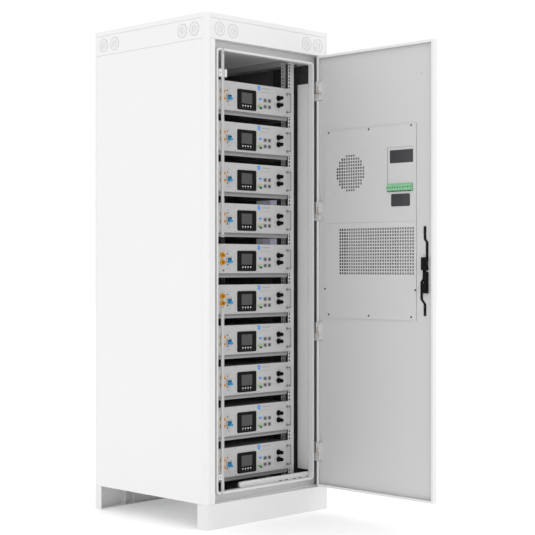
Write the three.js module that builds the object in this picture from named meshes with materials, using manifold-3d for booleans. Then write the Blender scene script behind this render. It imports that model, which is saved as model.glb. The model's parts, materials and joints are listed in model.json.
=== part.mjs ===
// Outdoor battery cabinet with ten rack batteries behind one full-height door.
// Millimetres, +Z up. x runs from the left side to the right, y from the front face to the rear,
// z from the floor. The exported group moves the origin to the front plinth's foot, in line with the
// rack's middle.
import * as THREE from 'three';
import Module from 'manifold-3d';
import { mergeVertices } from 'three/addons/utils/BufferGeometryUtils.js';

const wasm = await Module();
wasm.setup();

// ---- driving dimensions ----------------------------------------------------------------------
const WIDTH = 765;
const DEPTH = 765;
const HEIGHT = 2180;
// the rack's middle, a little left of the cabinet's
const MIDDLE = 375;
const CORNER_RADIUS = 22;
const SEAM = 0.6;
const GAP = 0.3;

const PLINTH_TOP = 107.5;
const PLINTH_SHEET = 3;
const PLINTH_RETURN = 57;
const FOOT_WIDTH = 40;
const FASCIA_BOTTOM = 2071;
const ROOF_BOTTOM = 2159;
const SKIN = 2;
const PANEL_DEPTH = 20;
const POST_FACE = 24;
const POST = 26;

const OPENING_LEFT = 50;
const OPENING_RIGHT = 721;
const SEAT_Y = 40;
const SEAT_SHEET = 3;
const RIM_FRONT = 17;
const RIM_WALL = 9.5;
const RIM = { left: 75, right: 682, bottom: 141, top: 2040, radius: 18 };

const RACK_UNIT = 44.45;
const MODULE_COUNT = 10;
const MODULE_PITCH = 4 * RACK_UNIT;
const TOP_MODULE_Z = 1919.7;
const PANEL_WIDTH = 482.6;
const PANEL_HEIGHT = 128;
const PANEL_FRONT = 98;
const PANEL_SHEET = 3;
const CASE_WIDTH = 440;
const CASE_REAR = 560;
const CASE_HEIGHT = 125;
const CASE_WALL = 9;
const TRAY_LIP = 9.5;
const SHELF_LIP = 9;
const MODULE_PORTS = [49, 80.5];
const OUTPUT_PORT = { x: 183, radius: 13, core: 6, reach: 18 };
const INPUT_PORT = { x: 532, radius: 12.5, core: 8.5, reach: 27 };
const PORT_COLLAR = 8;
const GRIP_X = 588;
const DISPLAY = { left: 273.5, right: 389.5, upper: 29, lower: 119 };
const BREAKER = { x: 223, below: 71, width: 27, height: 28, proud: 6, tilt: 22 };

const UPRIGHT_FRONT = PANEL_FRONT + PANEL_SHEET + GAP;
const UPRIGHT_DEPTH = 45;
const UPRIGHT_OUTER = 636;
const UPRIGHT_FLANGE = 36;
const UPRIGHT_SHEET = 2;
const REAR_UPRIGHT_Y = 604;
const UPRIGHT_TOP = 2045;
const SHELF_RAIL = [UPRIGHT_FRONT + UPRIGHT_DEPTH - 1, REAR_UPRIGHT_Y - UPRIGHT_DEPTH + 1];
const CABLE_ENTRY = { x: [225, 525], y: [625, 705] };

const DOOR = { left: 51, right: 717, bottom: 109, top: 2069, depth: 25, lip: 11 };
const HINGE = { x: 712, y: 3, barrel: 6.5, pin: 2.4, height: 85, frameShare: 34 };
const HINGE_COUNT = 4;
const HINGE_FIRST = 224.5;
const HINGE_PITCH = 547.5;
const HEAD_SHEET = 1;
const HINGE_BOTTOMS = Array.from({ length: HINGE_COUNT }, (_, i) => HINGE_FIRST + i * HINGE_PITCH);
const LINER_FRONT = 8.5;
const LINER_BACK = 10;
const BEHIND_DOOR = 30;
const COOLER = { left: 150, right: 678, bottom: 878, top: 1722, split: 1304.5 };
const COOLER_HOUSING = { left: 229, right: 639, depth: 110 };
const DUCT_HOLE = { left: 241, right: 627, bottom: 890, top: 1710 };
const RETURN_AIR = { x: 523, z: 1527, radius: 80 };
const CONDENSER = { x: 434, z: 1130, radius: 110 };

const LOCK = { left: 86, right: 115, depth: 27, armWidth: 12, armFront: 11, armBack: 14 };
const ARM_END_X = 104;
const HANDLE = { x: 105, z: 1118, length: 110 };
const ROD = { x: 110, width: 16, front: 15, back: 21 };
const ROD_CLIPS = [{ height: [1918, 1950], right: 131 }, { height: [203, 226], right: 101.5 }];

// ---- colours ---------------------------------------------------------------------------------
const paint = (color, roughness, metalness = 0) =>
  new THREE.MeshStandardMaterial({ color, roughness, metalness });
const WHITE = paint(0xeeeeee, 0.45);
const INNER_GREY = paint(0xc4c4c4, 0.5);
const MODULE_GREY = paint(0xc0c0c0, 0.5);
const ZINC = paint(0xb8b8b8, 0.4, 0.8);
const BLACK = paint(0x191919, 0.6);
const BLUE = paint(0x147dbe, 0.4);
const LILAC = paint(0xb4b0d0, 0.6);

// ---- solids ----------------------------------------------------------------------------------
function solidOf(geometry) {
  geometry.deleteAttribute('normal');
  geometry.deleteAttribute('uv');
  const merged = mergeVertices(geometry, 1e-4);
  const vertProperties = new Float32Array(merged.attributes.position.array);
  const triVerts = new Uint32Array(merged.index.array);
  return new wasm.Manifold(new wasm.Mesh({ numProp: 3, vertProperties, triVerts }));
}

function geometryOf(solid) {
  const { vertProperties, triVerts } = solid.getMesh();
  const geometry = new THREE.BufferGeometry();
  geometry.setAttribute('position', new THREE.BufferAttribute(vertProperties, 3));
  geometry.setIndex(new THREE.BufferAttribute(triVerts, 1));
  geometry.computeVertexNormals();
  return geometry;
}

function block([x0, x1], [y0, y1], [z0, z1]) {
  const geometry = new THREE.BoxGeometry(x1 - x0, y1 - y0, z1 - z0);
  geometry.translate((x0 + x1) / 2, (y0 + y1) / 2, (z0 + z1) / 2);
  return solidOf(geometry);
}

function column([x, y], radius, [z0, z1], sides = 12) {
  const geometry = new THREE.CylinderGeometry(radius, radius, z1 - z0, sides);
  geometry.rotateX(Math.PI / 2);
  geometry.translate(x, y, (z0 + z1) / 2);
  return solidOf(geometry);
}

function disc([x, z], radius, [y0, y1], sides = 12) {
  const geometry = new THREE.CylinderGeometry(radius, radius, y1 - y0, sides);
  geometry.translate(x, (y0 + y1) / 2, z);
  return solidOf(geometry);
}

// an outline in x and y, raised from z0 to z1
function prism(shape, [z0, z1], curveSegments = 5) {
  const geometry = new THREE.ExtrudeGeometry(shape, { depth: z1 - z0, bevelEnabled: false, curveSegments });
  geometry.translate(0, 0, z0);
  return solidOf(geometry);
}

// an outline in x and z, running from y0 back to y1
function plate(shape, [y0, y1], curveSegments = 5) {
  const geometry = new THREE.ExtrudeGeometry(shape, { depth: y1 - y0, bevelEnabled: false, curveSegments });
  geometry.rotateX(Math.PI / 2);
  geometry.translate(0, y1, 0);
  return solidOf(geometry);
}

function roundedRectangle(x0, x1, y0, y1, r) {
  const shape = new THREE.Shape();
  shape.moveTo(x0 + r, y0);
  shape.lineTo(x1 - r, y0);
  shape.absarc(x1 - r, y0 + r, r, -Math.PI / 2, 0);
  shape.lineTo(x1, y1 - r);
  shape.absarc(x1 - r, y1 - r, r, 0, Math.PI / 2);
  shape.lineTo(x0 + r, y1);
  shape.absarc(x0 + r, y1 - r, r, Math.PI / 2, Math.PI);
  shape.lineTo(x0, y0 + r);
  shape.absarc(x0 + r, y0 + r, r, Math.PI, 1.5 * Math.PI);
  return shape;
}

const union = (solids) => wasm.Manifold.union(solids);
const mirrored = (solid, middle = WIDTH / 2) => solid.mirror([1, 0, 0]).translate([2 * middle, 0, 0]);
const turnedBack = (solid) => solid.mirror([0, 1, 0]).translate([0, DEPTH, 0]);

// ---- outer shell -----------------------------------------------------------------------------
function cornerPost() {
  const face = new THREE.Shape();
  face.moveTo(POST_FACE, 0);
  face.lineTo(POST_FACE, POST_FACE);
  face.lineTo(0, POST_FACE);
  face.lineTo(0, CORNER_RADIUS);
  face.absarc(CORNER_RADIUS, CORNER_RADIUS, CORNER_RADIUS, Math.PI, 1.5 * Math.PI);
  const core = block([PANEL_DEPTH + GAP, POST], [PANEL_DEPTH + GAP, POST], [PLINTH_TOP + GAP, ROOF_BOTTOM - SEAM]);
  return prism(face, [PLINTH_TOP + GAP, HEIGHT], 8).add(core);
}

// a sheet folded back at its four edges and open towards the inside of the cabinet
function foldedPanel([x0, x1], [z0, z1]) {
  const outer = block([x0, x1], [0, PANEL_DEPTH], [z0, z1]);
  return outer.subtract(block([x0 + SKIN, x1 - SKIN], [SKIN, PANEL_DEPTH + 1], [z0 + SKIN, z1 - SKIN]));
}

const PANEL_SPAN = [POST_FACE + GAP, WIDTH - POST_FACE - GAP];
const BODY_HEIGHT = [PLINTH_TOP + GAP, FASCIA_BOTTOM - SEAM / 2];
const FASCIA_SPAN = [FASCIA_BOTTOM + SEAM / 2, ROOF_BOTTOM - SEAM / 2];
const onLeftSide = (solid) => solid.rotate([0, 0, -90]).translate([0, DEPTH, 0]);

function roofCover() {
  const notch = POST_FACE + GAP;
  const full = block([0, WIDTH], [0, DEPTH], [ROOF_BOTTOM + SEAM / 2, HEIGHT]);
  const inside = [notch + SKIN, WIDTH - notch - SKIN];
  const hollow = block(inside, inside, [ROOF_BOTTOM - 1, HEIGHT - SKIN]);
  const corner = block([-1, notch], [-1, notch], [ROOF_BOTTOM - 1, HEIGHT + 1]);
  const corners = [corner, mirrored(corner), turnedBack(corner), turnedBack(mirrored(corner))];
  return full.subtract(union([hollow, ...corners]));
}

// the front ring: jamb strips beside the door, the seat behind it and the raised sealing rim
function frontFrame() {
  const seat = block([OPENING_LEFT - 2.7, OPENING_RIGHT + 2.7], [SEAT_Y, SEAT_Y + SEAT_SHEET], BODY_HEIGHT);
  const head = block(
    [OPENING_LEFT - 2.7, OPENING_RIGHT + 2.7], [PANEL_DEPTH + GAP, SEAT_Y + 1],
    [BODY_HEIGHT[1] - HEAD_SHEET, BODY_HEIGHT[1]]);
  const leftStrip = block([PANEL_SPAN[0], OPENING_LEFT], [0, PANEL_DEPTH], BODY_HEIGHT);
  const leftWall = block([OPENING_LEFT - 2.7, OPENING_LEFT], [0, SEAT_Y + SEAT_SHEET], BODY_HEIGHT);
  const rightStrip = block([OPENING_RIGHT, PANEL_SPAN[1]], [0, PANEL_DEPTH], BODY_HEIGHT);
  const rightWall = block([OPENING_RIGHT, OPENING_RIGHT + 2.7], [0, SEAT_Y + SEAT_SHEET], BODY_HEIGHT);
  const { left, right, bottom, top, radius } = RIM;
  const rimDepth = [RIM_FRONT, SEAT_Y + SEAT_SHEET];
  const rim = plate(roundedRectangle(left, right, bottom, top, radius), rimDepth);
  const w = RIM_WALL;
  const inner = roundedRectangle(left + w, right - w, bottom + w, top - w, radius - w);
  const opening = plate(inner, [RIM_FRONT - 1, SEAT_Y + SEAT_SHEET + 1]);
  const ring = union([seat, head, leftStrip, leftWall, rightStrip, rightWall, rim]).subtract(opening);
  return union([ring, ...rodClips(), ...HINGE_BOTTOMS.map(frameHingeLeaf)]).subtract(rodChannel());
}

// the way that the lock rods run in, through the clips and across the rim's ends
function rodChannel() {
  const play = 0.5;
  const half = ROD.width / 2 + play;
  return block([ROD.x - half, ROD.x + half], [ROD.front - play, ROD.back + play], [0, HEIGHT]);
}

// clips on the sealing rim beside the two lock rods; the upper one reaches round its rod
function rodClips() {
  return ROD_CLIPS.map(({ height, right }) => {
    const base = block([RIM.left + RIM_WALL - 1, right], [RIM_FRONT + 1, ROD.back + 4], height);
    const cheeks = block([RIM.left + RIM_WALL + 1.5, right], [ROD.front - 2.5, RIM_FRONT + 2], height);
    const lane = block([ROD.x - ROD.width / 2 - 0.5, ROD.x + ROD.width / 2 + 0.5], [0, ROD.front], height);
    return base.add(cheeks.subtract(lane));
  });
}

// the frame's half of a hinge: a foot on the seat, an arm, the lower barrel and the pin
function frameHingeLeaf(z) {
  const low = [z, z + HINGE.frameShare];
  const foot = block([684, 706], [SEAT_Y - 7.5, SEAT_Y + 1], [z, z + HINGE.height]);
  const link = block([700, OPENING_RIGHT + 0.5], [SEAT_Y - 7.5, SEAT_Y + 1], low);
  const arm = block([HINGE.x, OPENING_RIGHT + 0.5], [HINGE.y, SEAT_Y], low);
  const barrel = column([HINGE.x, HINGE.y], HINGE.barrel, low);
  const pin = column([HINGE.x, HINGE.y], HINGE.pin, [z, z + HINGE.height - 8], 8);
  return union([foot, link, arm, barrel, pin]);
}

function frontPlinth() {
  const outline = new THREE.Shape();
  const inset = PLINTH_SHEET;
  const r = CORNER_RADIUS;
  outline.moveTo(0, PLINTH_RETURN);
  outline.lineTo(0, r);
  outline.absarc(r, r, r, Math.PI, 1.5 * Math.PI);
  outline.lineTo(WIDTH - r, 0);
  outline.absarc(WIDTH - r, r, r, 1.5 * Math.PI, 2 * Math.PI);
  outline.lineTo(WIDTH, PLINTH_RETURN);
  outline.lineTo(WIDTH - inset, PLINTH_RETURN);
  outline.lineTo(WIDTH - inset, r);
  outline.absarc(WIDTH - r, r, r - inset, 0, -Math.PI / 2, true);
  outline.lineTo(r, inset);
  outline.absarc(r, r, r - inset, 1.5 * Math.PI, Math.PI, true);
  outline.lineTo(inset, PLINTH_RETURN);
  const skirt = prism(outline, [0, PLINTH_TOP]);
  const flangeReach = [r, WIDTH - r];
  const foot = block(flangeReach, [1, FOOT_WIDTH], [0, PLINTH_SHEET]);
  const head = block(flangeReach, [1, FOOT_WIDTH], [PLINTH_TOP - PLINTH_SHEET, PLINTH_TOP]);
  const stiffener = block([159, 216], [1, FOOT_WIDTH - 4], [0, PLINTH_TOP]);
  const hollow = block([162, 213], [PLINTH_SHEET, FOOT_WIDTH], [PLINTH_SHEET, PLINTH_TOP - PLINTH_SHEET]);
  const rib = stiffener.subtract(hollow);
  return union([skirt, foot, head, rib, mirrored(rib)]);
}

function floorPlate() {
  const sheet = block([POST + 3, WIDTH - POST - 3], [SEAT_Y + 3.5, DEPTH - 29], [PLINTH_TOP + 0.5, PLINTH_TOP + 3.5]);
  return sheet.subtract(block(CABLE_ENTRY.x, CABLE_ENTRY.y, [0, HEIGHT]));
}

// ---- rack ------------------------------------------------------------------------------------
function cProfile(y, towards) {
  const web = [UPRIGHT_OUTER - UPRIGHT_SHEET, UPRIGHT_OUTER];
  const flange = [UPRIGHT_OUTER - UPRIGHT_FLANGE, UPRIGHT_OUTER];
  const span = [y, y + towards * UPRIGHT_DEPTH].sort((a, b) => a - b);
  const height = [PLINTH_TOP + 4, UPRIGHT_TOP];
  const front = block(flange, [span[0], span[0] + UPRIGHT_SHEET], height);
  const rear = block(flange, [span[1] - UPRIGHT_SHEET, span[1]], height);
  return union([block(web, span, height), front, rear]);
}

const topOf = (index) => TOP_MODULE_Z - index * MODULE_PITCH;

// half of a shelf: both halves meet under the middle of the battery that they carry
function halfShelf(index) {
  const under = topOf(index) - PANEL_HEIGHT;
  const front = UPRIGHT_FRONT + 6.2;
  const side = 598;
  const outline = new THREE.Shape();
  outline.moveTo(MIDDLE + GAP, front);
  outline.lineTo(side, front);
  outline.lineTo(side, UPRIGHT_FRONT + UPRIGHT_DEPTH + 4);
  outline.lineTo(UPRIGHT_OUTER - 1, UPRIGHT_FRONT + UPRIGHT_DEPTH + 4);
  outline.lineTo(UPRIGHT_OUTER - 1, REAR_UPRIGHT_Y - UPRIGHT_DEPTH - 4);
  outline.lineTo(side, REAR_UPRIGHT_Y - UPRIGHT_DEPTH - 4);
  outline.lineTo(side, REAR_UPRIGHT_Y);
  outline.lineTo(MIDDLE + GAP, REAR_UPRIGHT_Y);
  const rail = block([UPRIGHT_OUTER - 2, UPRIGHT_OUTER], SHELF_RAIL, [under - 18, under]);
  const lip = block([MIDDLE + GAP, side], [front, front + 2], [under - TRAY_LIP - SHELF_LIP, under]);
  return union([prism(outline, [under - 2, under]), rail, lip]);
}

function rackSide() {
  const shelves = Array.from({ length: MODULE_COUNT }, (_, index) => halfShelf(index));
  const topBeam = block([660, 700], [60, 700], [2039, 2068]);
  const bracket = block([UPRIGHT_OUTER - 2, 700], [60, 140], [2036, 2040]);
  const rearBracket = block([UPRIGHT_OUTER - 2, 700], [REAR_UPRIGHT_Y - 40, REAR_UPRIGHT_Y], [2036, 2040]);
  const base = block([UPRIGHT_OUTER - 2, 662], [UPRIGHT_FRONT, REAR_UPRIGHT_Y], [PLINTH_TOP + 4, 130]);
  return union([
    cProfile(UPRIGHT_FRONT, 1), cProfile(REAR_UPRIGHT_Y, -1), topBeam, bracket, rearBracket, base, ...shelves,
  ]);
}

// a tall cable channel, open towards the side wall
function verticalDuct() {
  const outer = block([690, 728], [60, 128], [179, 1949]);
  return outer.subtract(block([692, 729], [62, 126], [181, 1947]));
}

function bottomDuct() {
  const body = block([252, 700], [46, 58], [148, 173]).add(disc([251, 160.5], 12.5, [46, 58]));
  const leg = block([280, 292], [50, 58], [PLINTH_TOP + 4, 150]);
  return union([body, leg, mirrored(leg, MIDDLE)]);
}

// ---- batteries -------------------------------------------------------------------------------
function uHandle(x) {
  const grip = block([x - 4, x + 4], [PANEL_FRONT - 26, PANEL_FRONT + 1], [-112, -21]);
  return grip.subtract(block([x - 5, x + 5], [PANEL_FRONT - 19, PANEL_FRONT], [-104, -29]));
}

// one battery, its panel's top edge at z = 0
function batteryModule() {
  const [left, right] = [MIDDLE - CASE_WIDTH / 2, MIDDLE + CASE_WIDTH / 2];
  const top = -1.5;
  const panelX = [MIDDLE - PANEL_WIDTH / 2, MIDDLE + PANEL_WIDTH / 2];
  const panel = block(panelX, [PANEL_FRONT, PANEL_FRONT + PANEL_SHEET], [-PANEL_HEIGHT, 0]);
  const shell = block([left, right], [PANEL_FRONT + 2, CASE_REAR], [top - CASE_HEIGHT, top]);
  const w = CASE_WALL;
  const cells = block(
    [left + w, right - w], [PANEL_FRONT + 2 + w, CASE_REAR - w], [top - CASE_HEIGHT + w, top - w]);
  const vent = block([MIDDLE - 90, MIDDLE + 90], [CASE_REAR - w - 1, CASE_REAR + 1], [-95, -45]);
  const lip = block([150, 598], [104, 107], [-PANEL_HEIGHT - TRAY_LIP, -PANEL_HEIGHT + 3]);
  const ports = MODULE_PORTS.flatMap((below) => [OUTPUT_PORT, INPUT_PORT].flatMap((port) => [
    disc([port.x, -below], port.radius, [PANEL_FRONT - PORT_COLLAR, PANEL_FRONT + 1]),
    disc([port.x, -below], port.core, [PANEL_FRONT - port.reach, PANEL_FRONT - PORT_COLLAR + 1], 8),
  ]));
  const display = block(
    [DISPLAY.left, DISPLAY.right], [PANEL_FRONT - 2, PANEL_FRONT + 1], [-DISPLAY.lower, -DISPLAY.upper]);
  const solid = union([panel, shell, lip, display, breakerBlock(), ...ports, uHandle(GRIP_X)]);
  return solid.subtract(union([cells, vent, breakerWell()]));
}

function breakerBlock() {
  const { x, below, width, height, proud } = BREAKER;
  return block(
    [x - width / 2, x + width / 2], [PANEL_FRONT - proud, PANEL_FRONT + 1],
    [-below - height / 2, -below + height / 2]);
}

// the hollow that the breaker's lever turns in
function breakerWell() {
  const { x, below, proud } = BREAKER;
  const geometry = new THREE.CylinderGeometry(14, 14, 23, 12);
  geometry.rotateZ(Math.PI / 2);
  geometry.translate(x, PANEL_FRONT - proud + 10, -below);
  return solidOf(geometry);
}

// the breaker's lever, its pivot at the origin and its tip tilted down by the rest angle
function breakerLever() {
  const hub = new THREE.CylinderGeometry(6, 6, 21, 10);
  hub.rotateZ(Math.PI / 2);
  const tip = block([-10.5, 10.5], [-23, 0], [-4.5, 4.5]);
  return solidOf(hub).add(tip).rotate([BREAKER.tilt, 0, 0]);
}

// ---- door, drawn closed ----------------------------------------------------------------------
function hingeNotches() {
  const span = [DOOR.right - 20.3, DOOR.right + 1];
  return HINGE_BOTTOMS.map((z) => block(span, [-1, DOOR.depth + 1], [z - 1, z + HINGE.height + 1]));
}

function doorPan() {
  const { left, right, bottom, top, depth, lip } = DOOR;
  const outer = block([left, right], [0, depth], [bottom, top]);
  const hollow = block([left + SKIN, right - SKIN], [SKIN, depth - SKIN], [bottom + SKIN, top - SKIN]);
  const mouth = block([left + lip, right - lip], [SKIN, depth + 1], [bottom + lip, top - lip]);
  const cooler = block([DUCT_HOLE.left, DUCT_HOLE.right], [-1, SKIN + 1], [DUCT_HOLE.bottom, DUCT_HOLE.top]);
  return outer.subtract(union([hollow, mouth, cooler, ...hingeNotches()]));
}

function doorLiner() {
  const { left, right, bottom, top } = DOOR;
  const edge = SKIN + GAP;
  const sheet = block([left + edge, right - edge], [LINER_FRONT, LINER_BACK], [bottom + edge, top - edge]);
  const cooler = block(
    [COOLER.left + 20, COOLER.right - 20], [0, BEHIND_DOOR], [COOLER.bottom + 15, COOLER.top - 15]);
  return sheet.subtract(union([cooler, ...hingeNotches()]));
}

function doorHingeLeaf(z) {
  const high = [z + HINGE.frameShare + SEAM, z + HINGE.height];
  const body = block([DOOR.right - 20, DOOR.right], [HINGE.y, 31], high);
  const barrel = column([HINGE.x, HINGE.y], HINGE.barrel, high);
  return body.add(barrel).subtract(column([HINGE.x, HINGE.y], HINGE.pin + SEAM, [z, z + HINGE.height - 7], 8));
}

// the cooling unit's outer case, open towards the door, with a post behind each fan
function coolerHousing() {
  const { left, right, depth } = COOLER_HOUSING;
  const { bottom, top } = COOLER;
  const sheet = 1.5;
  const outer = block([left, right], [-depth, -GAP], [bottom, top]);
  const hollow = block([left + sheet, right - sheet], [-depth + sheet, 1], [bottom + sheet, top - sheet]);
  const motor = ({ x, z }, front) => disc([x, z], 22, [-depth + 1, front]);
  const partition = block([left + 1, right - 1], [-depth + 1, -4], [COOLER.split - 5, COOLER.split - 3]);
  return union([outer.subtract(hollow), motor(RETURN_AIR, -46), motor(CONDENSER, -81), partition]);
}

function fan({ x, z, radius }, [y0, y1], bladeCount) {
  const hub = disc([x, z], radius * 0.32, [y0, y1], 16);
  const blades = Array.from({ length: bladeCount }, (_, i) => {
    const blade = block([0, radius], [-1, 1], [-radius * 0.26, radius * 0.26]);
    return blade.rotate([28, 0, 0]).rotate([0, (i * 360) / bladeCount, 0]).translate([x, (y0 + y1) / 2, z]);
  });
  return union([hub, ...blades]);
}

const COOLER_COVER = [LINER_BACK + GAP, LINER_BACK + 4.3];

function upperCoolerCover() {
  const sheet = block([COOLER.left, COOLER.right], COOLER_COVER, [COOLER.split + GAP, COOLER.top]);
  const window = block([166, 309], [COOLER_COVER[1] - 2.5, COOLER_COVER[1] + 1], [1434, 1628]);
  return sheet.subtract(window);
}

const lowerCoolerCover = () =>
  block([COOLER.left, COOLER.right], COOLER_COVER, [COOLER.bottom, COOLER.split - GAP]);

function lockCase() {
  const depth = [LINER_BACK + GAP, LOCK.depth];
  const upper = block([LOCK.left, LOCK.right], depth, [1094, 1149]);
  const neck = block([LOCK.left, 101], depth, [1035, 1086]);
  const lower = block([LOCK.left, 113], depth, [996, 1038]);
  const strap = block([97, 102], [depth[0], 13.3], [1080, 1100]);
  const upperLane = block([LOCK.left - 1, 99], [0, LOCK.armBack + 0.5], [1108, 1150]);
  const lowerLane = block([103.5, LOCK.right + 1], [0, LOCK.armBack + 0.5], [1093, 1138]);
  return union([upper, neck, lower, strap]).subtract(union([upperLane, lowerLane]));
}

// a flat bar that follows the points, square ended
function flatArm(points) {
  const half = LOCK.armWidth / 2;
  const shape = new THREE.Shape();
  const side = points.map(([x, z]) => [x - half, z]).concat(points.map(([x, z]) => [x + half, z]).reverse());
  side.forEach(([x, z], i) => (i === 0 ? shape.moveTo(x, z) : shape.lineTo(x, z)));
  return plate(shape, [LOCK.armFront, LOCK.armBack]);
}

const upperArm = () => flatArm([[ARM_END_X, 1281], [ARM_END_X, 1227], [92.5, 1212], [92.5, 1132]]);
const lowerArm = () =>
  flatArm([[110, 1114], [110, 1058], [121.5, 1044], [121.5, 970], [ARM_END_X, 950], [ARM_END_X, 900]]);

function handleBase() {
  const outline = roundedRectangle(HANDLE.x - 18, HANDLE.x + 18, 985, 1152, 10);
  const shield = plate(outline, [-6, -GAP]);
  const neck = disc([HANDLE.x, HANDLE.z - 90], 9, [-12, -5], 16);
  return shield.add(neck);
}

// the outer lever, hanging down from its spindle
function swingHandle() {
  const { x, z, length } = HANDLE;
  const boss = disc([x, z], 15, [-26, -6.4], 20);
  const grip = block([x - 10, x + 10], [-30, -20], [z - length, z]);
  return boss.add(grip);
}

// ---- lock rods -------------------------------------------------------------------------------
const rodBody = ([z0, z1]) =>
  block([ROD.x - ROD.width / 2, ROD.x + ROD.width / 2], [ROD.front, ROD.back], [z0, z1]);

// ---- assembly --------------------------------------------------------------------------------
function piece(name, solid, material, group) {
  const mesh = new THREE.Mesh(geometryOf(solid), material);
  mesh.name = name;
  group.add(mesh);
}

function addShell(group) {
  const post = cornerPost();
  piece('post_front_left', post, WHITE, group);
  piece('post_front_right', mirrored(post), WHITE, group);
  piece('post_rear_left', turnedBack(post), WHITE, group);
  piece('post_rear_right', turnedBack(mirrored(post)), WHITE, group);
  const fascia = foldedPanel(PANEL_SPAN, FASCIA_SPAN);
  const side = foldedPanel(PANEL_SPAN, BODY_HEIGHT);
  piece('fascia_front', fascia, WHITE, group);
  piece('fascia_rear', turnedBack(fascia), WHITE, group);
  piece('fascia_left', onLeftSide(fascia), WHITE, group);
  piece('fascia_right', mirrored(onLeftSide(fascia)), WHITE, group);
  piece('side_panel_left', onLeftSide(side), WHITE, group);
  piece('side_panel_right', mirrored(onLeftSide(side)), WHITE, group);
  piece('rear_panel', turnedBack(side), WHITE, group);
  piece('roof_cover', roofCover(), WHITE, group);
  piece('front_frame', frontFrame(), WHITE, group);
  piece('plinth_front', frontPlinth(), WHITE, group);
  piece('plinth_rear', turnedBack(frontPlinth()), WHITE, group);
  piece('floor_plate', floorPlate(), ZINC, group);
}

function addInterior(group) {
  piece('rack_side_right', rackSide(), ZINC, group);
  piece('rack_side_left', mirrored(rackSide(), MIDDLE), ZINC, group);
  piece('cable_duct_vertical', verticalDuct(), INNER_GREY, group);
  piece('cable_duct_bottom', bottomDuct(), INNER_GREY, group);
  piece('junction_box', block([655, 699.7], [271, 364], [1210, 1440]), LILAC, group);
  piece('lock_rod_upper', rodBody([1235, 2034]), ZINC, group);
  piece('lock_rod_lower', rodBody([141, 942]), ZINC, group);
}

function addBatteries(group) {
  const battery = batteryModule();
  const lever = breakerLever();
  for (let index = 0; index < MODULE_COUNT; index += 1) {
    const number = String(index + 1).padStart(2, '0');
    const place = new THREE.Group();
    place.position.z = topOf(index);
    piece(`battery_${number}`, battery, MODULE_GREY, place);
    const pivot = new THREE.Group();
    pivot.position.set(BREAKER.x, PANEL_FRONT - BREAKER.proud + 10, -BREAKER.below);
    piece(`breaker_lever_${number}`, lever, BLUE, pivot);
    place.add(pivot);
    group.add(place);
  }
}

// the door's pieces are drawn closed and then turned open about the hinge line
function addDoor(group) {
  const hinge = new THREE.Group();
  hinge.position.set(HINGE.x, HINGE.y, 0);
  hinge.rotation.z = Math.PI / 2;
  const door = new THREE.Group();
  door.position.set(-HINGE.x, -HINGE.y, 0);
  piece('door_pan', doorPan(), WHITE, door);
  piece('door_liner', doorLiner(), INNER_GREY, door);
  HINGE_BOTTOMS.forEach((z, index) => piece(`hinge_leaf_${index + 1}`, doorHingeLeaf(z), ZINC, door));
  piece('cooler_housing', coolerHousing(), WHITE, door);
  piece('cooler_cover_upper', upperCoolerCover(), INNER_GREY, door);
  piece('cooler_cover_lower', lowerCoolerCover(), INNER_GREY, door);
  piece('evaporator_fan', fan({ ...RETURN_AIR, radius: 70 }, [-45, -20], 7), BLACK, door);
  piece('condenser_fan', fan(CONDENSER, [-80, -50], 5), BLACK, door);
  piece('lock_case', lockCase(), BLACK, door);
  piece('lock_arm_upper', upperArm(), BLACK, door);
  piece('lock_arm_lower', lowerArm(), BLACK, door);
  piece('handle_base', handleBase(), BLACK, door);
  piece('swing_handle', swingHandle(), BLACK, door);
  hinge.add(door);
  group.add(hinge);
}

const cabinet = new THREE.Group();
addShell(cabinet);
addInterior(cabinet);
addBatteries(cabinet);
addDoor(cabinet);
cabinet.position.set(-MIDDLE, -FOOT_WIDTH / 2, 0);

export default cabinet;
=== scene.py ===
import json
import math

import bmesh
import bpy
from mathutils import Matrix, Vector


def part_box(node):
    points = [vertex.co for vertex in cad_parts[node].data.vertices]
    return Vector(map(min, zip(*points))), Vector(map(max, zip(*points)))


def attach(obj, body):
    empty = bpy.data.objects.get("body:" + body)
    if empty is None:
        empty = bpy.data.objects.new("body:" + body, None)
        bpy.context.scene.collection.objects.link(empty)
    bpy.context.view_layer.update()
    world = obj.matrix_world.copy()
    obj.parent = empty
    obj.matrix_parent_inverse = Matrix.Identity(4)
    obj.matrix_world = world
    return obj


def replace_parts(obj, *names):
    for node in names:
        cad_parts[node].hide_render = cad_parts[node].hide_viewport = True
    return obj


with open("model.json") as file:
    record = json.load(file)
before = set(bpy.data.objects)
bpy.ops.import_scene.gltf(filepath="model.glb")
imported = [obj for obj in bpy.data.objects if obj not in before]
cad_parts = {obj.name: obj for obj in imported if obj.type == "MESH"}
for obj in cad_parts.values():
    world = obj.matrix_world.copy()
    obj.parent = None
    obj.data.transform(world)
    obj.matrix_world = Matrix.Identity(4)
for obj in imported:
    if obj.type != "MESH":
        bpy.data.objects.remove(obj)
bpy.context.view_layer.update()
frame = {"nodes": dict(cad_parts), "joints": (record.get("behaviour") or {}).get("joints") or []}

MM = 0.001
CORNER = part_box("post_front_left")[0]
WIDTH = (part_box("post_front_right")[1].x - CORNER.x) / MM
DEPTH = (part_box("post_rear_left")[1].y - CORNER.y) / MM
CABINET = Matrix.Translation((CORNER.x, CORNER.y, 0)) @ Matrix.Scale(MM, 4)
JOINTS = {joint["name"]: joint for joint in frame["joints"]}
HINGE = Vector(JOINTS["door_hinge"]["pos_m"])
OPENED = Matrix.Translation(HINGE) @ Matrix.Rotation(math.pi / 2, 4, "Z") @ Matrix.Translation(-HINGE)
DOOR = OPENED @ CABINET
MODULES = 10


def added(name, data):
    """A new object in the scene."""
    made = bpy.data.objects.new(name, data)
    bpy.context.scene.collection.objects.link(made)
    return made


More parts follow.
